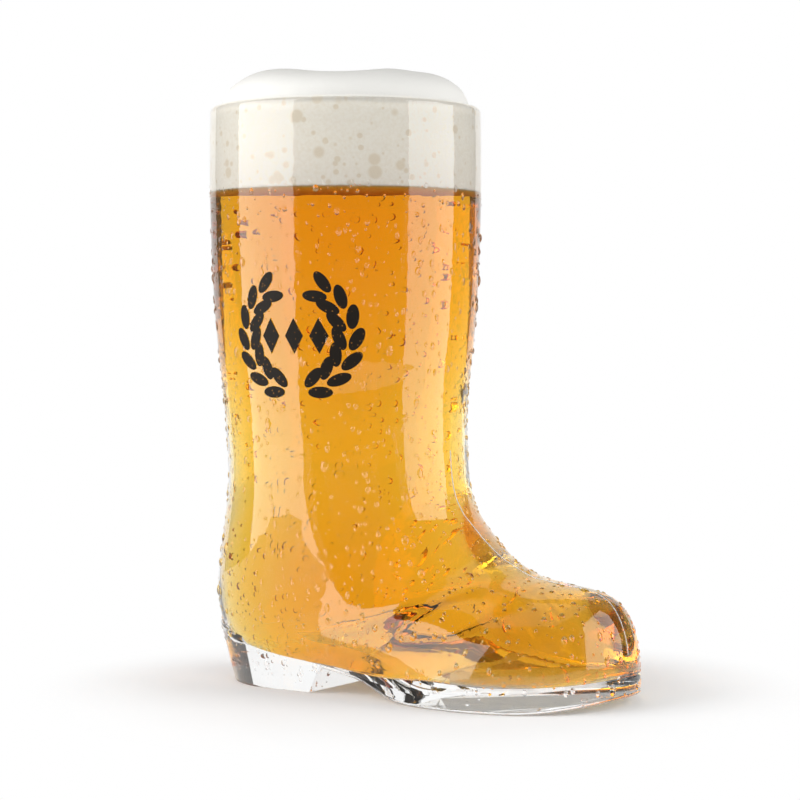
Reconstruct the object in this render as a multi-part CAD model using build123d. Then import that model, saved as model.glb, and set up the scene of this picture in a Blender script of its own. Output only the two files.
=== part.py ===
from build123d import *
import os
from math import cos, radians, sin, sqrt

os.makedirs("parts", exist_ok=True)

# Driving dimensions in millimetres. Forward is +X, towards the toe, and forward places are counted
# from the shaft's axis.

# Shaft, a round tube that narrows to the ankle
rim_height = 185.0
mouth_radius = 43.5
calf_height = 150.0
calf_radius = 43.6
shin_height = 112.0
shin_radius = 41.6
ankle_height = 79.0
ankle_radius = 38.5
ankle_front = 39.6
lip_round = 1.3
lip_step = 0.1
shaft_steps = 8
loft_sections = 54

# Back of the foot, from the ankle down to the seat on the heel
tendon_height = 64.0
tendon_back = 38.0
tendon_half_width = 38.4
counter_height = 34.0
counter_back = 43.2
counter_half_width = 37.6
seat_back = 42.2

# Instep, the front line from the ankle down to the toe cap. Each point is a share of the way forward
# and a share of the height above the toe cap.
instep_curve = [
    (0.032, 0.663),
    (0.144, 0.442),
    (0.322, 0.279),
    (0.470, 0.167),
    (0.604, 0.098),
    (0.740, 0.040),
]

# Toe, a round dome ahead of the ball of the foot
ball_front = 61.0
ball_half_width = 35.5
toe_cap_front = 80.0
toe_cap_height = 36.0
toe_tip_height = 7.0
toe_fullness = 2.8
toe_reach = 103.4
toe_lean = 16.0
toe_low_share = 0.35
hollow_low_share = 0.22
toe_angles = [0, 30, 52, 68, 79, 86, 89.4]
welt_ledge = 0.3
upper_sink = 1.8
keel_depth = 8.0
upper_heel_back = 30.0
upper_heel_height = 5.0
upper_waist_height = 3.0

# Sole and heel
sole_thickness = 6.0
sole_flat_start = 46.0
sole_flat_end = 78.0
toe_spring = 3.6
toe_edge = 5.5
toe_slope = 0.3
arch_slope = -0.2
waist_front = 24.0
waist_half_width = 29.0
waist_rise = 5.5
waist_thickness = 3.6
heel_height = 19.5
seat_drop = 7.0
heel_seat_radius = 32.8
heel_floor_radius = 28.0
heel_centre_back = 9.9
breast_front = 5.0
breast_lean = 0.62
breast_height = 9.2
sole_edge_round = 1.2
heel_edge_round = 1.0

# Glass thickness, thin at the lip and heavy from the ankle down
lip_wall = 3.3
calf_wall = 4.4
shin_wall = 7.4
ankle_wall = 10.0
vamp_wall = 5.6
counter_wall = 9.4
side_wall = 7.6
toe_wall = 5.8
heel_glass = 15.0
heel_corner = 6.0
heel_corner_run = 9.0
hollow_sink = 6.0
floor_round = 1.5
waist_glass = 12.4
shank_glass = 8.4
ball_glass = 7.4

# Filling
beer_level = 158.0
liquid_gap = 0.06
foam_rise = 12.2
foam_shoulder = 0.5
foam_inset = 0.6
foam_crown_radius = 32.0

# Fired-on print of two barley ears and three lozenges, on the side of the shaft
print_angle = -78.0
print_height = 112.0
ear_radius = 16.5
ear_first_angle = -66.0
ear_step_angle = 21.0
grains_per_row = 7
grain_length = 7.6
grain_width = 3.6
grain_spread = 2.5
grain_tilt = 24.0
lozenge_width = 6.0
lozenge_height = 11.0
lozenge_pitch = 8.0
print_thickness = 0.12
print_gap = 0.03

# The frame's origin lies on the floor, under the middle of the boot's length
shaft_x = (max(calf_radius, mouth_radius, counter_back) - toe_reach) / 2


def spot(place):
    """A point of the boot's middle plane, from its place ahead of the shaft and its height."""
    front, height = place
    return Vector(shaft_x + front, 0, height)


def halfway(first, second):
    return ((first[0] + second[0]) / 2, (first[1] + second[1]) / 2)


def rail_point(rail, along):
    """The point of a rail at a knot value. The @ operator would go by length instead."""
    return Vector(rail.geom_adaptor().Value(along))


def section(back, front, half_width, low_share, gap):
    """An egg-shaped wire across the boot, drawn in by gap, widest at low_share from back to front."""
    span = front - back
    widest = back + span * low_share
    normal = span.cross(Vector(0, 1, 0)).normalized()
    flat = Plane(origin=widest, x_dir=span.normalized(), z_dir=normal)
    fore = Edge.make_ellipse(span.length * (1 - low_share) - gap, half_width - gap, flat, -90, 90)
    aft = Edge.make_ellipse(span.length * low_share - gap, half_width - gap, flat, 90, 270)
    return Wire([fore, aft])


def drawn_in(line, walls):
    """Moves the inner points of a line to its right-hand side, each by its own wall."""
    moved = []
    for before, here, after, wall in zip(line, line[1:], line[2:], walls):
        run = after[0] - before[0]
        rise = after[1] - before[1]
        length = sqrt(run**2 + rise**2)
        moved.append((here[0] + wall * rise / length, here[1] - wall * run / length))
    return moved


def toe_half_width(front, reach, half_width):
    """Half width of the round toe, a half ellipse that starts at the ball of the foot."""
    share = (front - ball_front) / (reach - ball_front)
    return half_width * sqrt(max(0.0, 1 - share**2))


def boot_form(hollow, gap):
    """The boot's outside, or its hollow, as one loft from the rim to the toe, drawn in by gap."""
    wall_share = 1 if hollow else 0
    shaft = [
        (rim_height, mouth_radius, lip_wall),
        (calf_height, calf_radius, calf_wall),
        (shin_height, shin_radius, shin_wall),
        (ankle_height, ankle_radius, ankle_wall),
        (tendon_height, tendon_half_width, ankle_wall),
    ]
    depths = [(rim_height - height) / (rim_height - tendon_height) for height, _, _ in shaft]
    graph = [Vector(height, radius - wall * wall_share) for height, radius, wall in shaft]
    profile = Edge.make_spline(graph, parameters=depths)
    stations = []
    for number in range(shaft_steps):
        ring = rail_point(profile, depths[-2] * number / shaft_steps)
        stations.append(((-ring.Y, ring.X), (ring.Y, ring.X), ring.Y))
    ankle_side = ankle_wall * wall_share
    ankle_ends = [(ankle_side - ankle_radius, ankle_height), (ankle_front - ankle_side, ankle_height)]
    stations.append((*ankle_ends, ankle_radius - ankle_side))

    # The foot's sections turn from level at the ankle to upright at the ball. Outside and hollow both run
    # on below their floors, so that their sides stand upright there.
    toe_cap = (toe_cap_front, toe_cap_height)
    run = toe_cap_front - ankle_front
    rise = ankle_height - toe_cap_height
    front_line = [(ankle_front, ankle_height)]
    for forward, up in instep_curve:
        front_line.append((ankle_front + run * forward, toe_cap_height + rise * up))
    front_line += [halfway(front_line[-1], toe_cap), toe_cap]
    seat = (-seat_back, heel_height)
    counter = (-counter_back, counter_height)
    tendon = (-tendon_back, tendon_height)
    keel = -keel_depth
    if hollow:
        last = len(front_line) - 1
        walls = [ankle_wall + (vamp_wall - ankle_wall) * number / last for number in range(1, last)]
        front_line[1:-1] = drawn_in(front_line, walls)
        tendon = (ankle_wall - tendon_back, tendon_height)
        counter = (counter_wall - counter_back, counter_height)
        seat = (counter_wall - seat_back, heel_glass + heel_corner)
        under = [(seat[0] + heel_corner_run, heel_glass - hollow_sink / 2)]
        under.append((breast_front, waist_glass - hollow_sink))
        under.append((sole_flat_start - sole_thickness, shank_glass - hollow_sink))
        keel = ball_glass - hollow_sink
        widths = [tendon_half_width - ankle_wall, counter_half_width - side_wall]
        widths.append(ball_half_width - toe_wall)
    else:
        under = [(-upper_heel_back, upper_heel_height)]
        under.append((breast_front, upper_waist_height))
        under.append((sole_flat_start - sole_thickness, keel))
        widths = [tendon_half_width, counter_half_width, ball_half_width - welt_ledge]
    back_line = [tendon, halfway(tendon, counter), counter, seat] + under
    steps = len(back_line)
    for index, (back, front) in enumerate(zip(back_line, front_line[1:])):
        if index <= 2:
            half_width = widths[0] + (widths[1] - widths[0]) * index / 2
        else:
            half_width = widths[1] + (widths[2] - widths[1]) * (index - 2) / (steps - 2)
        stations.append((back, front, half_width))

    # The toe's sections shrink almost to a point, as slices of a dome
    widest_share = hollow_low_share if hollow else toe_low_share
    inset = welt_ledge + toe_wall * wall_share
    reach = toe_reach - inset
    half = ball_half_width - inset
    cap_height = toe_cap_height - vamp_wall * wall_share
    tip_height = toe_tip_height + toe_wall * wall_share
    heel_of_toe = toe_cap_front - toe_lean
    for angle in toe_angles:
        far = sin(radians(angle)) ** (2 / toe_fullness)
        near = cos(radians(angle)) ** (2 / toe_fullness)
        top_height = tip_height + (cap_height - tip_height) * near
        low_height = tip_height + (keel - tip_height) * near
        top = (toe_cap_front + (reach - toe_cap_front) * far, top_height)
        low = (heel_of_toe + (reach - heel_of_toe) * far, low_height)
        widest = low[0] + (top[0] - low[0]) * widest_share
        stations.append((low, top, toe_half_width(widest, reach, half)))

    # Smooth rails through the stations carry evenly spaced sections, which keeps the loft even
    knots = [0.0]
    for (back, front, _), (next_back, next_front, _) in zip(stations, stations[1:]):
        step = (spot(next_back) - spot(back)).length + (spot(next_front) - spot(front)).length
        knots.append(knots[-1] + sqrt(step))
    knots = [knot / knots[-1] for knot in knots]
    back_rail = Edge.make_spline([spot(back) for back, _, _ in stations], parameters=knots)
    front_rail = Edge.make_spline([spot(front) for _, front, _ in stations], parameters=knots)
    widths = [half_width for _, _, half_width in stations]
    width_graph = [Vector(knot * rim_height, width) for knot, width in zip(knots, widths)]
    width_rail = Edge.make_spline(width_graph, parameters=knots)
    ankle_knot = knots[shaft_steps]
    ball_knot = knots[shaft_steps + steps + 1]
    wires = []
    for number in range(loft_sections + 1):
        along = number / loft_sections
        turn = min(1, max(0, (along - ankle_knot) / (ball_knot - ankle_knot)))
        low_share = 0.5 + (widest_share - 0.5) * turn**2 * (3 - 2 * turn)
        back = rail_point(back_rail, along)
        front = rail_point(front_rail, along)
        half_width = rail_point(width_rail, along).Y
        wires.append(section(back, front, half_width, low_share, gap))
    return Solid.make_loft(wires)


def sole_solid():
    """The sole: its side view cut out of its plan, with the arch, the flat tread and the toe spring."""
    tread = [
        (breast_front - heel_edge_round, breast_height),
        (waist_front, waist_rise),
        (sole_flat_start, 0.0),
        (sole_flat_end, 0.0),
        (toe_reach, toe_spring),
    ]
    arch = Spline([spot(place) for place in tread[:3]], tangents=[(1, 0, arch_slope), (1, 0, 0)])
    flat = Line(spot(tread[2]), spot(tread[3]))
    spring_mid = ((sole_flat_end + toe_reach) / 2, toe_spring / 4)
    spring_line = [spot(tread[3]), spot(spring_mid), spot(tread[4])]
    spring = Spline(spring_line, tangents=[(1, 0, 0), (1, 0, toe_slope)])
    nose = Line(spot(tread[4]), spot((toe_reach, toe_spring + toe_edge)))
    welt = Spline(
        [
            spot((toe_reach, toe_spring + toe_edge)),
            spot((sole_flat_end, sole_thickness)),
            spot((sole_flat_start, sole_thickness)),
            spot((waist_front, waist_rise + waist_thickness)),
            spot((breast_front - heel_edge_round, breast_height + waist_thickness)),
        ]
    )
    close = Line(welt @ 1, arch @ 0)
    side = make_face([arch, flat, spring, nose, welt, close])
    block = extrude(side, amount=ball_half_width + 1, dir=(0, 1, 0), both=True)

    waist = (waist_front, waist_half_width)
    ball = (ball_front, ball_half_width)
    back = (breast_front - heel_edge_round, waist_half_width)

    def edge(sign):
        return [Vector(shaft_x + front, sign * half) for front, half in (back, waist, ball)]

    left = Spline(edge(1), tangents=[(1, 0), (1, 0)])
    right = Spline(edge(-1), tangents=[(1, 0), (1, 0)])
    toe_centre = Plane(origin=(shaft_x + ball_front, 0, 0))
    toe = Edge.make_ellipse(toe_reach - ball_front, ball_half_width, toe_centre, -90, 90)
    rear = Line(left @ 0, right @ 0)
    plan = make_face([left, right, toe, rear])
    sole = block & extrude(plan, amount=rim_height / 2)
    tread_edges = []
    for edge in sole.edges().filter_by(GeomType.LINE, reverse=True):
        middle = edge.center()
        if middle.Z < waist_rise and abs(middle.Y) > waist_half_width / 2:
            tread_edges.append(edge)
    return fillet(tread_edges, sole_edge_round)


def heel_outline(height, radius):
    """Plan of the heel at a height: round at the back, with straight sides up to the breast."""
    front = breast_front + breast_lean * heel_height
    centre = Vector(shaft_x - heel_centre_back, 0, height)
    back = Edge.make_circle(radius, Plane(origin=centre), 90, 270)
    left = Line(Vector(shaft_x + front, radius, height), back @ 0)
    right = Line(back @ 1, Vector(shaft_x + front, -radius, height))
    breast = Line(right @ 1, left @ 0)
    return Wire([left, back, right, breast])


def heel_solid():
    """The heel block: a cone-like loft, cut off by the leaning breast and by the seat that falls forward."""
    wires = [heel_outline(0, heel_floor_radius), heel_outline(heel_height, heel_seat_radius)]
    block = Solid.make_loft(wires, ruled=True)
    far = breast_front + breast_lean * heel_height * 2
    seat_front = heel_height - seat_drop
    cut = Polyline(
        spot((breast_front, 0)),
        spot((far, 0)),
        spot((far, rim_height)),
        spot((-seat_back, rim_height)),
        spot((-seat_back, heel_height)),
        spot((breast_front + breast_lean * seat_front, seat_front)),
        close=True,
    )
    waste = extrude(make_face(cut), amount=heel_seat_radius * 2, dir=(0, 1, 0), both=True)
    heel = Part() + block - waste
    floor_edges = heel.faces().sort_by(Axis.Z)[0].edges()
    return fillet(floor_edges, heel_edge_round)


def lip_waste():
    """The ring of glass outside the rounded lip, cut away with a turned profile."""
    outer = mouth_radius - lip_step
    inner = mouth_radius - lip_wall + lip_step
    low = rim_height - lip_round
    spare = lip_wall
    crown = [
        Line((outer + spare, low), (outer, low)),
        CenterArc((outer - lip_round, low), lip_round, 0, 90),
        Line((outer - lip_round, rim_height), (inner + lip_round, rim_height)),
        CenterArc((inner + lip_round, low), lip_round, 90, 90),
        Polyline(
            (inner, low),
            (inner - spare, low),
            (inner - spare, rim_height + spare),
            (outer + spare, rim_height + spare),
            (outer + spare, low),
        ),
    ]
    upright = Plane(origin=(shaft_x, 0, 0), x_dir=(1, 0, 0), z_dir=(0, -1, 0))
    return revolve(upright * make_face(crown), Axis((shaft_x, 0, 0), (0, 0, 1)))


def keel_waste():
    """What the boot's outside has below the seat on the heel and below the welt of the sole."""
    past_toe = toe_reach + toe_edge
    welt_top = toe_spring + toe_edge - upper_sink
    outline = Polyline(
        spot((-past_toe, -rim_height)),
        spot((-past_toe, heel_height - upper_sink)),
        spot((-seat_back, heel_height - upper_sink)),
        spot((breast_front, breast_height + waist_thickness - upper_sink)),
        spot((waist_front, waist_rise + waist_thickness - upper_sink)),
        spot((sole_flat_start, sole_thickness - upper_sink)),
        spot((sole_flat_end, sole_thickness - upper_sink)),
        spot((toe_reach, welt_top)),
        spot((past_toe, welt_top)),
        spot((past_toe, -rim_height)),
        close=True,
    )
    return extrude(make_face(outline), amount=ball_half_width * 2, dir=(0, 1, 0), both=True)


def hollow_solid(gap):
    """The hollow, drawn in by gap, with its lower end cut off along the inner floor and rounded there."""
    past_toe = toe_reach + toe_edge
    floor_line = Spline(
        [
            spot((-past_toe, heel_glass + gap)),
            spot((heel_corner_run - seat_back, heel_glass + gap)),
            spot((breast_front, waist_glass + gap)),
            spot((sole_flat_start - sole_thickness, shank_glass + gap)),
            spot((ball_front, ball_glass + gap)),
            spot((sole_flat_end, ball_glass + gap)),
            spot((past_toe, ball_glass + toe_spring + gap)),
        ]
    )
    deep_front = spot((past_toe, -rim_height))
    deep_back = spot((-past_toe, -rim_height))
    rest = Polyline(floor_line @ 1, deep_front, deep_back, floor_line @ 0)
    side_face = Pos(0, -ball_half_width * 2, 0) * make_face([floor_line, rest])
    waste = extrude(side_face, amount=ball_half_width * 4, dir=(0, 1, 0))
    hollow = Part() + boot_form(True, gap) - waste
    floor = hollow.faces().filter_by(GeomType.EXTRUSION)[0]
    return fillet(floor.edges(), floor_round - gap)


def glass_solid():
    """The whole glass: upper, sole and heel in one piece, with the hollow taken out and the lip rounded."""
    upper = Part() + boot_form(False, 0) - keel_waste()
    body = upper + sole_solid() + heel_solid()
    return body - hollow_solid(0) - lip_waste()


def slab(low, high):
    """A wide slab between two heights, for cutting the filling to its level."""
    wide = toe_reach * 4
    return Pos(0, 0, low) * Box(wide, wide, high - low, align=(Align.CENTER, Align.CENTER, Align.MIN))


def beer_solid():
    """The beer: the hollow, less the liquid gap, up to the beer level."""
    return hollow_solid(liquid_gap) & slab(0, beer_level)


def foam_solid():
    """The head of foam: it fills the mouth above the beer and stands over the rim as a flat dome."""
    mouth = hollow_solid(liquid_gap) & slab(beer_level + liquid_gap, rim_height)
    brim = mouth_radius - lip_wall - foam_inset
    top = rim_height + foam_rise
    start = rim_height - foam_shoulder
    side = Vector(shaft_x + brim, 0, start)
    shoulder = Vector(shaft_x + brim, 0, top)
    crown = Vector(shaft_x + foam_crown_radius, 0, top)
    outline = Bezier(side, shoulder, crown, Vector(shaft_x, 0, top))
    down = Line(outline @ 1, Vector(shaft_x, 0, start))
    base = Line(down @ 1, outline @ 0)
    dome = revolve(make_face([outline, down, base]), Axis((shaft_x, 0, 0), (0, 0, 1)))
    return mouth + dome


def print_solids():
    """The fired-on print: grains and lozenges cut out of a thin skin on the glass."""
    facing = radians(print_angle)
    outward = Vector(cos(facing), sin(facing), 0)
    across = Vector(-sin(facing), cos(facing), 0)
    origin = Vector(shaft_x, 0, print_height)
    flat = Plane(origin=origin, x_dir=across, z_dir=outward)
    grain = Ellipse(grain_length / 2, grain_width / 2)
    marks = []
    for number in range(grains_per_row):
        angle = ear_first_angle + ear_step_angle * number
        for row in (-1, 1):
            spread = Pos(ear_radius + row * grain_spread, 0)
            place = Rot(0, 0, angle) * spread * Rot(0, 0, 90 - row * grain_tilt)
            marks.append(place * grain)
            marks.append(mirror(place * grain, about=Plane.YZ))
    lozenge = Polygon(
        (lozenge_width / 2, 0), (0, lozenge_height / 2), (-lozenge_width / 2, 0), (0, -lozenge_height / 2)
    )
    for column in (-1, 0, 1):
        marks.append(Pos(column * lozenge_pitch, 0) * lozenge)
    deep = mouth_radius + calf_radius
    stamps = Part() + [extrude(flat * mark, amount=deep) for mark in marks]
    window = extrude(flat * Rectangle(ear_radius * 4, ear_radius * 4), amount=deep)
    skin = window & boot_form(False, -print_gap - print_thickness)
    return (skin - boot_form(False, -print_gap)) & stamps


export_step(glass_solid(), "parts/boot_glass.step")
export_step(beer_solid(), "parts/beer.step")
export_step(foam_solid(), "parts/foam_head.step")
export_step(print_solids(), "parts/printed_emblem.step")
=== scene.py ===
import itertools
import math
import random

import bmesh
import bpy
from mathutils import Matrix, Vector


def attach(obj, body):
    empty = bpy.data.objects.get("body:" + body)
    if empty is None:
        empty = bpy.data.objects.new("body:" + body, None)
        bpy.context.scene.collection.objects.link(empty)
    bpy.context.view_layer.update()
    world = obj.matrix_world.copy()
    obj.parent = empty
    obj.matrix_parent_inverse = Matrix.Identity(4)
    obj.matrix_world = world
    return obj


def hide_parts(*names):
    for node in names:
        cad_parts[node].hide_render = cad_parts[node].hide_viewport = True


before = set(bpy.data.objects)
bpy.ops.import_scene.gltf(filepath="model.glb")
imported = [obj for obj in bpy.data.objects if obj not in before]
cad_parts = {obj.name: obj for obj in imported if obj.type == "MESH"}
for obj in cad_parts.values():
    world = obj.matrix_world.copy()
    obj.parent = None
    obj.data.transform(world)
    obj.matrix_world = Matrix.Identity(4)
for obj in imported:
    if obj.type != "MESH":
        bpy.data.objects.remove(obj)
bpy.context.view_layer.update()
bpy.ops.object.select_all(action="DESELECT")


# Boot glass
# The real piece is one melt of clear soda-lime glass, pressed in a two-part mould and fire-polished.
# Its wall is thin at the lip and heavy in the foot, and the solid already has that shape.
def linear(hex_colour):
    """An sRGB hex colour as linear red, green, blue and alpha."""
    channels = [int(hex_colour[start : start + 2], 16) / 255 for start in (1, 3, 5)]
    return [c / 12.92 if c <= 0.04045 else ((c + 0.055) / 1.055) ** 2.4 for c in channels] + [1.0]


def new_material(name):
    """An empty material with only its output node."""
    material = bpy.data.materials.new(name)
    material.use_nodes = True
    material.node_tree.nodes.clear()
    material.node_tree.nodes.new("ShaderNodeOutputMaterial")
    return material


def add_node(material, kind, settings=(), **inputs):
    """Adds one node: settings are its own fields, and each input is a value or the socket it is linked to.

    An input goes by its name, with _ for a space, or by its number after a first _.
    """
    made = material.node_tree.nodes.new(kind)
    for field, value in dict(settings).items():
        setattr(made, field, value)
    for name, value in inputs.items():
        socket = made.inputs[int(name[1:])] if name[0] == "_" else made.inputs[name.replace("_", " ")]
        if isinstance(value, bpy.types.NodeSocket):
            material.node_tree.links.new(value, socket)
        else:
            socket.default_value = value
    return made


def put_out(material, surface, volume=None):
    """Links a material's surface, and its volume if it has one, to its output."""
    out = material.node_tree.nodes["Material Output"]
    material.node_tree.links.new(surface, out.inputs["Surface"])
    if volume:
        material.node_tree.links.new(volume, out.inputs["Volume"])


def select_only(piece):
    """Makes a piece the active object and the only selected one."""
    bpy.ops.object.select_all(action="DESELECT")
    bpy.context.view_layer.objects.active = piece
    piece.select_set(True)


def own_copy(node, name):
    """A merged copy of a solid's mesh as a new piece, smooth but for its sharp edges."""
    merge_reach = 0.000002
    sharp_angle = math.radians(30)
    piece = bpy.data.objects.new(name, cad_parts[node].data.copy())
    bpy.context.scene.collection.objects.link(piece)
    select_only(piece)
    bpy.ops.mesh.customdata_custom_splitnormals_clear()
    bpy.ops.object.mode_set(mode="EDIT")
    bpy.ops.mesh.select_all(action="SELECT")
    bpy.ops.mesh.remove_doubles(threshold=merge_reach)
    bpy.ops.object.mode_set(mode="OBJECT")
    bpy.ops.object.shade_smooth_by_angle(angle=sharp_angle)
    piece.data.materials.clear()
    return piece


# The merged copy takes over the solid's exact normals, so that the curved wall bends light smoothly
boot_glass = own_copy("boot_glass", "pressed_boot")
true_normals = [corner.vector.copy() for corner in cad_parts["boot_glass"].data.corner_normals]
if len(true_normals) == len(boot_glass.data.loops):
    boot_glass.data.normals_split_custom_set(true_normals)

# Soda-lime glass, pressed: water-clear, with a slow waviness that bends the edges of reflections
glass_index = 1.52
wave_width = 0.014
wave_depth = 0.0006
clear_glass = new_material("pressed_soda_lime_glass")
glass_place = add_node(clear_glass, "ShaderNodeTexCoord")
waves = add_node(
    clear_glass,
    "ShaderNodeTexNoise",
    Vector=glass_place.outputs["Object"],
    Scale=1 / wave_width,
    Detail=1.0,
)
waviness = add_node(
    clear_glass, "ShaderNodeBump", Height=waves.outputs["Fac"], Strength=0.02, Distance=wave_depth
)
glass_shader = add_node(
    clear_glass,
    "ShaderNodeBsdfPrincipled",
    Base_Color=linear("#FCFDFD"),
    Roughness=0.0,
    IOR=glass_index,
    Transmission_Weight=1.0,
    Normal=waviness.outputs["Normal"],
)
put_out(clear_glass, glass_shader.outputs["BSDF"])

# The same glass where beer wets it: light bends far less from glass to beer than from glass to air
beer_index = 1.33
beer_reach = 0.001
wetted_glass = new_material("soda_lime_glass_wetted_by_beer")
wetted_shader = add_node(
    wetted_glass,
    "ShaderNodeBsdfPrincipled",
    Base_Color=linear("#FFFFFF"),
    Roughness=0.0,
    IOR=glass_index / beer_index,
    Transmission_Weight=1.0,
)
put_out(wetted_glass, wetted_shader.outputs["BSDF"])
boot_glass.data.materials.append(clear_glass)
boot_glass.data.materials.append(wetted_glass)
beer_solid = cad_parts["beer"]
for face in boot_glass.data.polygons:
    face.material_index = int(beer_solid.closest_point_on_mesh(face.center, distance=beer_reach)[0])
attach(boot_glass, "root")
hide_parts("boot_glass")

# Beer
# The real piece is clear filtered lager that wets the inside of the glass up to a level line.
# Its sides bend no light of their own, since the wetted face of the glass does that for both.
beer = own_copy("beer", "lager")

# Lager, filtered: blue is soaked up within millimetres and green within centimetres, red hardly at all
lager_density = 86.1
lager = new_material("filtered_lager")
lager_shader = add_node(
    lager,
    "ShaderNodeBsdfPrincipled",
    Base_Color=linear("#FFFFFF"),
    Roughness=0.0,
    IOR=1.001,
    Transmission_Weight=1.0,
)
lager_depth = add_node(
    lager, "ShaderNodeVolumeAbsorption", Color=linear("#FBE754"), Density=lager_density
)
put_out(lager, lager_shader.outputs["BSDF"], lager_depth.outputs["Volume"])
beer.data.materials.append(lager)
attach(beer, "root")
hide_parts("beer")

# Foam head
# The real piece is a stiff head of beer foam: fine white bubbles with a few large ones against the
# glass. The foam solid is remeshed evenly, settles a little and is pushed up in two lumps with a dip.
shaft = Vector((-0.0299, 0.0, 0.0))
camera_turn = math.radians(34.5)
to_camera = Vector((math.sin(camera_turn), -math.cos(camera_turn), 0.0))
to_right = Vector((math.cos(camera_turn), math.sin(camera_turn), 0.0))
rim_height = 0.185
foam_swell = 0.0002
foam_voxel = 0.0007
foam = own_copy("foam_head", "foam_heap")
bpy.ops.object.mode_set(mode="EDIT")
bpy.ops.mesh.select_all(action="SELECT")
bpy.ops.transform.shrink_fatten(value=foam_swell)
bpy.ops.object.mode_set(mode="OBJECT")
even = foam.modifiers.new("even", "REMESH")
even.mode = "VOXEL"
even.voxel_size = foam_voxel
bpy.ops.object.modifier_apply(modifier="even")

# Each lump has its place along the picture, its height and its half width
foam_settle = 0.0023
free_height = 0.005
lump_front = 0.010
lumps = [
    (-0.028, 0.0010, 0.007),
    (-0.019, 0.0016, 0.009),
    (-0.003, -0.0006, 0.008),
    (0.014, 0.0016, 0.009),
    (0.028, 0.0010, 0.007),
]
for vertex in foam.data.vertices:
    free = max(0.0, min(1.0, (vertex.co.z - rim_height) / free_height))
    out = Vector((vertex.co.x - shaft.x, vertex.co.y - shaft.y, 0.0))
    vertex.co.z -= free * foam_settle
    for middle, height, spread in lumps:
        sideways = (out.dot(to_right) - middle) / spread
        deep = (out.dot(to_camera) - lump_front) / (2 * spread)
        vertex.co.z += free * height * math.exp(-(sideways**2) - deep**2)
bpy.ops.object.shade_smooth()

# Beer foam: matt and nearly white, with cream windows where large bubbles lie against the glass
bubble_pitches = (0.0066, 0.0030)
largest_share = 0.38
grain_pitch = 0.0009
grain_depth = 0.0003
free_above = rim_height + 0.001
pressed_below = rim_height - 0.002
foam_white = new_material("beer_foam")
foam_place = add_node(foam_white, "ShaderNodeTexCoord")
bubble_windows = []
for bubble_pitch in bubble_pitches:
    bubbles = add_node(
        foam_white, "ShaderNodeTexVoronoi", Vector=foam_place.outputs["Object"], Scale=1 / bubble_pitch
    )
    sizes = add_node(foam_white, "ShaderNodeSeparateColor", Color=bubbles.outputs["Color"])
    radius = add_node(
        foam_white,
        "ShaderNodeMath",
        {"operation": "MULTIPLY"},
        _0=sizes.outputs["Red"],
        _1=largest_share,
    )
    depth = add_node(
        foam_white,
        "ShaderNodeMath",
        {"operation": "SUBTRACT"},
        _0=radius.outputs["Value"],
        _1=bubbles.outputs["Distance"],
    )
    window = add_node(
        foam_white, "ShaderNodeMapRange", Value=depth.outputs["Value"], From_Min=-0.04, From_Max=0.08
    )
    bubble_windows.append(window.outputs["Result"])
windows = add_node(
    foam_white, "ShaderNodeMath", {"operation": "MAXIMUM"}, _0=bubble_windows[0], _1=bubble_windows[1]
)
grain = add_node(
    foam_white,
    "ShaderNodeTexNoise",
    Vector=foam_place.outputs["Object"],
    Scale=1 / grain_pitch,
    Detail=2.0,
)
grain_tone = add_node(
    foam_white,
    "ShaderNodeMapRange",
    Value=grain.outputs["Fac"],
    From_Min=0.4,
    From_Max=0.75,
    To_Min=0.0,
    To_Max=0.4,
)
spotted = add_node(
    foam_white,
    "ShaderNodeMath",
    {"operation": "MAXIMUM"},
    _0=windows.outputs["Value"],
    _1=grain_tone.outputs["Result"],
)
heights = add_node(foam_white, "ShaderNodeSeparateXYZ", Vector=foam_place.outputs["Object"])
pressed = add_node(
    foam_white, "ShaderNodeMapRange", Value=heights.outputs["Z"], From_Min=free_above, From_Max=pressed_below
)
marked = add_node(
    foam_white,
    "ShaderNodeMath",
    {"operation": "MULTIPLY"},
    _0=spotted.outputs["Value"],
    _1=pressed.outputs["Result"],
)
# Painted shade and light: the free top above the rim is painted a greyer white. The foam against the glass
# is painted a brighter cream, partly its own cream tone and partly painted light where less light reaches it
foam_painted_shade_and_light = add_node(
    foam_white,
    "ShaderNodeMix",
    {"data_type": "RGBA"},
    Factor=pressed.outputs["Result"],
    _6=linear("#DCDBD7"),
    _7=linear("#FAF5EA"),
)
foam_colour = add_node(
    foam_white,
    "ShaderNodeMix",
    {"data_type": "RGBA"},
    Factor=marked.outputs["Value"],
    _6=foam_painted_shade_and_light.outputs[2],
    _7=linear("#EDE2CE"),
)
foam_bump = add_node(
    foam_white, "ShaderNodeBump", Height=grain.outputs["Fac"], Strength=0.3, Distance=grain_depth
)
foam_shader = add_node(
    foam_white,
    "ShaderNodeBsdfPrincipled",
    Base_Color=foam_colour.outputs[2],
    Roughness=0.9,
    IOR=1.33,
    Normal=foam_bump.outputs["Normal"],
)
put_out(foam_white, foam_shader.outputs["BSDF"])
foam.data.materials.append(foam_white)
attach(foam, "root")
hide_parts("foam_head")

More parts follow.
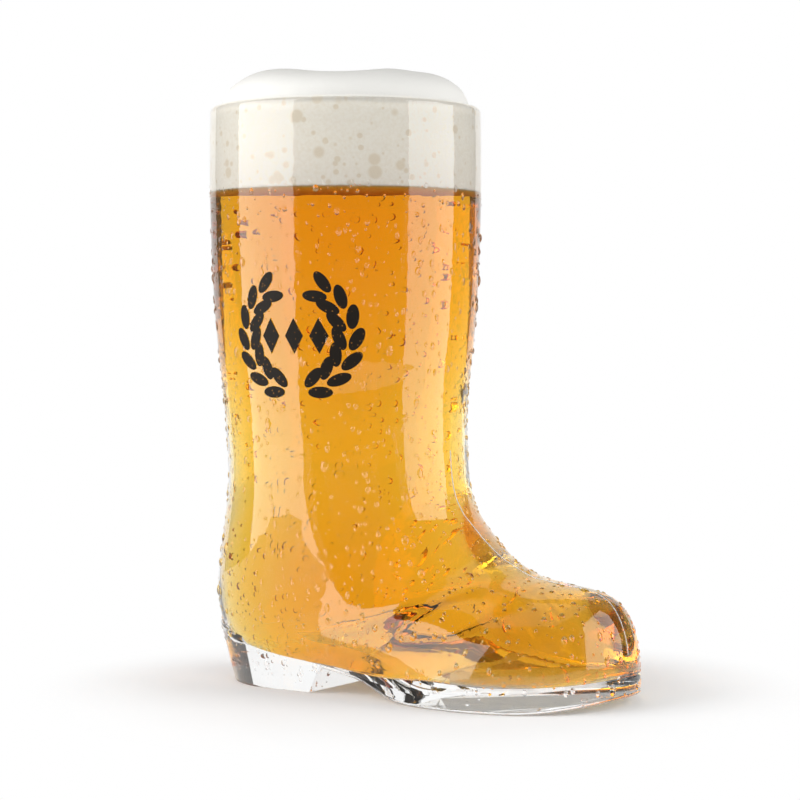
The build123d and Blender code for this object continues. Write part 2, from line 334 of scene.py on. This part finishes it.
# Printed emblem
# The real piece is a print of black enamel, screened on and fired, with tiny bare specks.
# The solid has its marks, and the material adds the specks.
speck_pitch = 0.0013
enamel = new_material("fired_black_enamel")
enamel_place = add_node(enamel, "ShaderNodeTexCoord")
specks = add_node(
    enamel, "ShaderNodeTexVoronoi", Vector=enamel_place.outputs["Object"], Scale=1 / speck_pitch
)
bare = add_node(
    enamel,
    "ShaderNodeMapRange",
    Value=specks.outputs["Distance"],
    From_Min=0.14,
    From_Max=0.2,
    To_Min=1.0,
    To_Max=0.0,
)
enamel_colour = add_node(
    enamel,
    "ShaderNodeMix",
    {"data_type": "RGBA"},
    Factor=bare.outputs["Result"],
    _6=linear("#1A1510"),
    _7=linear("#7A5320"),
)
enamel_shader = add_node(
    enamel, "ShaderNodeBsdfPrincipled", Base_Color=enamel_colour.outputs[2], Roughness=0.6, IOR=1.25
)
put_out(enamel, enamel_shader.outputs["BSDF"])
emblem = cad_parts["printed_emblem"]
emblem.data.materials.clear()
emblem.data.materials.append(enamel)

# Condensation
# The real drops are water from the air on the cold outside of the glass: beads a millimetre or two wide
# that sag down the wall, with finer ones between. One bead is modelled and copied to seeded places.
cap_level = 0.5
cap_slack = 0.01
cap_growth = 1 / math.sqrt(1 - cap_level**2)
bpy.ops.object.select_all(action="DESELECT")
bpy.ops.mesh.primitive_uv_sphere_add(segments=8, ring_count=12, radius=1.0)
bead = bpy.context.object
bpy.ops.object.mode_set(mode="EDIT")
bpy.ops.mesh.select_all(action="DESELECT")
bpy.ops.object.mode_set(mode="OBJECT")
for vertex in bead.data.vertices:
    vertex.select = vertex.co.z < cap_level - cap_slack
bpy.ops.object.mode_set(mode="EDIT")
bpy.ops.mesh.delete(type="VERT")
bpy.ops.mesh.select_all(action="SELECT")
bpy.ops.transform.translate(value=(0, 0, -cap_level))
bpy.ops.transform.resize(value=(cap_growth, cap_growth, cap_growth), center_override=(0, 0, 0))
bpy.ops.object.mode_set(mode="OBJECT")

# Places are drawn by area on the outside of the wall, clear of the print and of the drops already there.
# Each set has its count, its smallest and its largest radius.
bead_sets = [(70, 0.0010, 0.0015), (1100, 0.0005, 0.0010), (2000, 0.0002, 0.0005)]
wet_low = 0.004
wet_high = 0.160
least_tilt = -0.5
spacing = 1.25
off_wall = 0.0005
print_reach = 0.002
cell = 0.004
around = list(itertools.product((-1, 0, 1), repeat=3))
random.seed(11)
wet_faces = [face for face in boot_glass.data.polygons if wet_low < face.center.z < wet_high]
wet_sums = list(itertools.accumulate(face.area for face in wet_faces))
cells = {}
beads = []
for count, smallest, largest in bead_sets:
    placed = 0
    while placed < count:
        face = random.choices(wet_faces, cum_weights=wet_sums)[0]
        radius = random.uniform(smallest, largest)
        corners = [boot_glass.data.vertices[index].co for index in face.vertices]
        share = sorted((random.random(), random.random()))
        middle = corners[0] * share[0] + corners[1] * (share[1] - share[0]) + corners[2] * (1 - share[1])
        normal = face.normal.copy()
        indoors = boot_glass.ray_cast(middle + normal * off_wall, normal)[0]
        printed = emblem.ray_cast(middle + normal * print_reach, -normal, distance=2 * print_reach)[0]
        home = [math.floor(along / cell) for along in middle]
        rooms = [tuple(a + b for a, b in zip(home, step)) for step in around]
        neighbours = [other for room in rooms for other in cells.get(room, [])]
        crowded = any((middle - other).length < (radius + size) * spacing for other, size in neighbours)
        if indoors or printed or crowded or normal.z < least_tilt:
            continue
        cells.setdefault(tuple(home), []).append((middle, radius))
        beads.append((middle, radius, normal))
        placed += 1

# On a steep wall a drop is longer than wide, and its edge lies just inside the glass
level_wall = 0.05
sink = 0.04
sag = (0.1, 0.6)
dome = (0.7, 0.95)
drops_mesh = bmesh.new()
for middle, radius, normal in beads:
    across = Vector((0, 0, 1)).cross(normal)
    steep = across.length
    across = across.normalized() if steep > level_wall else normal.orthogonal().normalized()
    down = normal.cross(across)
    length = radius * (1 + steep * random.uniform(*sag))
    height = radius * random.uniform(*dome)
    sunk = middle - normal * radius * sink
    first = len(drops_mesh.verts)
    drops_mesh.from_mesh(bead.data)
    drops_mesh.verts.ensure_lookup_table()
    turn = Matrix((across * radius, down * length, normal * height)).transposed()
    for vertex in drops_mesh.verts[first:]:
        vertex.co = sunk + turn @ vertex.co
bpy.data.objects.remove(bead)
drops = bpy.data.objects.new("condensation_drops", bpy.data.meshes.new("condensation_drops"))
drops_mesh.to_mesh(drops.data)
drops_mesh.free()
bpy.context.scene.collection.objects.link(drops)
select_only(drops)
bpy.ops.object.shade_smooth_by_angle(angle=math.radians(60))

# Water: clear beads, each a small lens that turns the picture behind it upside down
water = new_material("condensed_water")
water_shader = add_node(
    water,
    "ShaderNodeBsdfPrincipled",
    Base_Color=linear("#FFFFFF"),
    Roughness=0.0,
    IOR=1.45,
    Transmission_Weight=1.0,
)
put_out(water, water_shader.outputs["BSDF"])
drops.data.materials.append(water)
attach(drops, "root")

# Mould seam
# The real seam is a hair-fine ridge of glass where the two halves of the mould met, on the middle plane.
# Its line is read off the glass from the ankle over the instep to the toe, and a thin bead is laid on it.
seam_radius = 0.00016
seam_lift = 0.6 * seam_radius
seam_far = 0.2
ankle_heights = (0.076, 0.072, 0.068, 0.064, 0.060, 0.056)
instep_pivot = Vector((0.020, 0.0, 0.020))
instep_degrees = range(86, -6, -3)
seam_casts = []
for height in ankle_heights:
    seam_casts.append((Vector((0.0, 0.0, height)), Vector((1.0, 0.0, 0.0))))
for degrees in instep_degrees:
    turn = math.radians(degrees)
    seam_casts.append((instep_pivot, Vector((math.cos(turn), 0.0, math.sin(turn)))))
seam_curve = bpy.data.curves.new("mould_seam", "CURVE")
seam_curve.dimensions = "3D"
seam_curve.bevel_depth = seam_radius
seam_curve.bevel_resolution = 1
seam_line = seam_curve.splines.new("POLY")
seam_line.points.add(len(seam_casts) - 1)
for knot, (pivot, out) in zip(seam_line.points, seam_casts):
    _, point, normal, _ = boot_glass.ray_cast(pivot + out * seam_far, -out)
    knot.co = (*(point + normal * seam_lift), 1.0)
seam = bpy.data.objects.new("mould_seam", seam_curve)
bpy.context.scene.collection.objects.link(seam)
select_only(seam)
bpy.ops.object.convert(target="MESH")
bpy.ops.object.shade_smooth()

# Seam glass: a drawn ridge, less polished than the wall, and half white matt as a painted highlight, so that
# it shows as a pale hairline
seam_glass_painted_pale = new_material("seam_glass_painted_pale")
seam_shader = add_node(
    seam_glass_painted_pale,
    "ShaderNodeBsdfPrincipled",
    Base_Color=linear("#FFFFFF"),
    Roughness=0.35,
    IOR=1.45,
    Transmission_Weight=0.5,
)
put_out(seam_glass_painted_pale, seam_shader.outputs["BSDF"])
seam.data.materials.append(seam_glass_painted_pale)
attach(seam, "root")


# Floor
# A round sheet of white paper lies under the glass, and the glass stands on it unfixed.
# It keeps the shadow near the glass and fades to plain white further out.
def seen_by_eye(material, path):
    """A socket that is 1 on rays from the camera, a reflection or a clear piece, and 0 on light itself."""
    direct = add_node(
        material,
        "ShaderNodeMath",
        {"operation": "MAXIMUM"},
        _0=path.outputs["Is Camera Ray"],
        _1=path.outputs["Is Glossy Ray"],
    )
    seen = add_node(
        material,
        "ShaderNodeMath",
        {"operation": "MAXIMUM"},
        _0=direct.outputs["Value"],
        _1=path.outputs["Is Transmission Ray"],
    )
    return seen.outputs["Value"]


floor_radius = 0.45
fade_start = 0.07
fade_end = 0.13
lift_direct = 0.12
lift_through_glass = 0.25
bpy.ops.object.select_all(action="DESELECT")
bpy.ops.mesh.primitive_circle_add(vertices=96, radius=floor_radius, fill_type="NGON", location=(0, 0, 0))
floor = bpy.context.object
floor.name = "floor"

# White paper: matt, with a little light of its own where it is seen, so that the shadow stays pale
paper = new_material("white_paper")
path = add_node(paper, "ShaderNodeLightPath")
seen = seen_by_eye(paper, path)
spot = add_node(paper, "ShaderNodeTexCoord")
far = add_node(paper, "ShaderNodeVectorMath", {"operation": "LENGTH"}, _0=spot.outputs["Object"])
fade = add_node(
    paper,
    "ShaderNodeMapRange",
    {"interpolation_type": "SMOOTHSTEP"},
    Value=far.outputs["Value"],
    From_Min=fade_start,
    From_Max=fade_end,
)
plain = add_node(paper, "ShaderNodeMath", {"operation": "MULTIPLY"}, _0=fade.outputs["Result"], _1=seen)
lift = add_node(
    paper,
    "ShaderNodeMapRange",
    Value=path.outputs["Is Transmission Ray"],
    To_Min=lift_direct,
    To_Max=lift_through_glass,
)
seen_lift = add_node(paper, "ShaderNodeMath", {"operation": "MULTIPLY"}, _0=seen, _1=lift.outputs["Result"])
paper_lit = add_node(paper, "ShaderNodeBsdfDiffuse", Color=linear("#F4F4F4"))
paper_lift = add_node(
    paper, "ShaderNodeEmission", Color=linear("#FFFFFF"), Strength=seen_lift.outputs["Value"]
)
paper_near = add_node(paper, "ShaderNodeAddShader", _0=paper_lit.outputs[0], _1=paper_lift.outputs[0])
paper_white = add_node(paper, "ShaderNodeEmission", Color=linear("#FFFFFF"), Strength=1.0)
paper_mix = add_node(
    paper,
    "ShaderNodeMixShader",
    _0=plain.outputs["Value"],
    _1=paper_near.outputs[0],
    _2=paper_white.outputs[0],
)
put_out(paper, paper_mix.outputs[0])
floor.data.materials.append(paper)

# Card
# A tall white card stands upright behind the glass, square to the camera.
# It is the light ground that shows through the beer, and its edges draw the dark lines of the wall.
card_width = 1.6
card_height = 2.0
card_back = 1.0
card_middle = 0.6
bpy.ops.mesh.primitive_plane_add(
    size=1.0,
    location=shaft - to_camera * card_back + Vector((0, 0, card_middle)),
    rotation=(math.pi / 2, 0, camera_turn),
)
card = bpy.context.object
card.name = "card"
card.scale = (card_width, card_height, 1.0)

# White card: matt to the lamps, and plain white where it is seen
card_paper = new_material("white_card")
card_seen = seen_by_eye(card_paper, add_node(card_paper, "ShaderNodeLightPath"))
card_lit = add_node(card_paper, "ShaderNodeBsdfDiffuse", Color=linear("#F4F4F4"))
card_white = add_node(card_paper, "ShaderNodeEmission", Color=linear("#FFFFFF"), Strength=1.0)
card_mix = add_node(
    card_paper, "ShaderNodeMixShader", _0=card_seen, _1=card_lit.outputs[0], _2=card_white.outputs[0]
)
put_out(card_paper, card_mix.outputs[0])
card.data.materials.append(card_paper)


# Lamps
# A tall soft box stands on each side and draws the two bright strips, and a square one hangs above.
# A wide fill behind the camera lights the foam and the print, and a dim room does the rest.
def soft_box(name, place, toward, width, height, radiance):
    """A rectangular lamp of a given brightness that faces a given way."""
    lamp = bpy.data.lights.new(name, "AREA")
    lamp.shape = "RECTANGLE"
    lamp.size = width
    lamp.size_y = height
    lamp.energy = radiance * math.pi * width * height
    box = bpy.data.objects.new(name, lamp)
    box.location = place
    box.rotation_euler = toward.to_track_quat("-Z", "Y").to_euler()
    bpy.context.scene.collection.objects.link(box)
    return box


# Each side box has its angle from the camera's direction, its width and its brightness
side_boxes = [("left_box", -71.7, 1.08, 3.8), ("right_box", 77.0, 0.9, 3.2)]
side_box_height = 1.5
side_box_middle = Vector((0, 0, 0.3))
for name, degrees, width, radiance in side_boxes:
    out = to_camera * math.cos(math.radians(degrees)) + to_right * math.sin(math.radians(degrees))
    soft_box(name, shaft + out + side_box_middle, -out, width, side_box_height, radiance)

top_box_place = shaft + Vector((0, 0, 1.2))
top_box_side = 0.9
top_box_radiance = 0.6
soft_box("top_box", top_box_place, Vector((0, 0, -1)), top_box_side, top_box_side, top_box_radiance)

fill_place = shaft + to_camera * 1.3 + Vector((0, 0, 0.6))
fill_width = 1.6
fill_height = 1.2
fill_radiance = 1.5
front_fill = soft_box("front_fill", fill_place, -to_camera, fill_width, fill_height, fill_radiance)
front_fill.visible_glossy = False

room_strength = 0.12
room = bpy.data.worlds.new("room")
bpy.context.scene.world = room
room.use_nodes = True
room.node_tree.nodes["Background"].inputs["Color"].default_value = linear("#FFFFFF")
room.node_tree.nodes["Background"].inputs["Strength"].default_value = room_strength

# Camera
# A long lens a little above the ankle looks slightly down, from the boot's right and partly from the front.
# Light may pass many faces of glass and beer before it is counted as lost.
camera_far = 0.755
camera_high = 0.1138
camera_yaw = 0.0232
camera_pitch = 0.0300
picture_pixels = 800
focal_pixels = 2333.0
sensor_width = 36.0
eye = bpy.data.objects.new("eye", bpy.data.cameras.new("eye"))
eye.data.sensor_width = sensor_width
eye.data.lens = sensor_width * focal_pixels / picture_pixels
eye.data.clip_start = 0.05
eye.data.clip_end = 20.0
ahead = -to_camera * math.cos(camera_yaw) + to_right * math.sin(camera_yaw)
ahead = ahead * math.cos(camera_pitch) - Vector((0, 0, 1)) * math.sin(camera_pitch)
eye.location = shaft + to_camera * camera_far + Vector((0, 0, camera_high))
eye.rotation_euler = ahead.to_track_quat("-Z", "Y").to_euler()
bpy.context.scene.collection.objects.link(eye)
bpy.context.scene.camera = eye
bpy.context.scene.view_settings.view_transform = "Standard"
bpy.context.scene.cycles.max_bounces = 32
bpy.context.scene.cycles.transmission_bounces = 32
bpy.context.scene.cycles.use_denoising = True
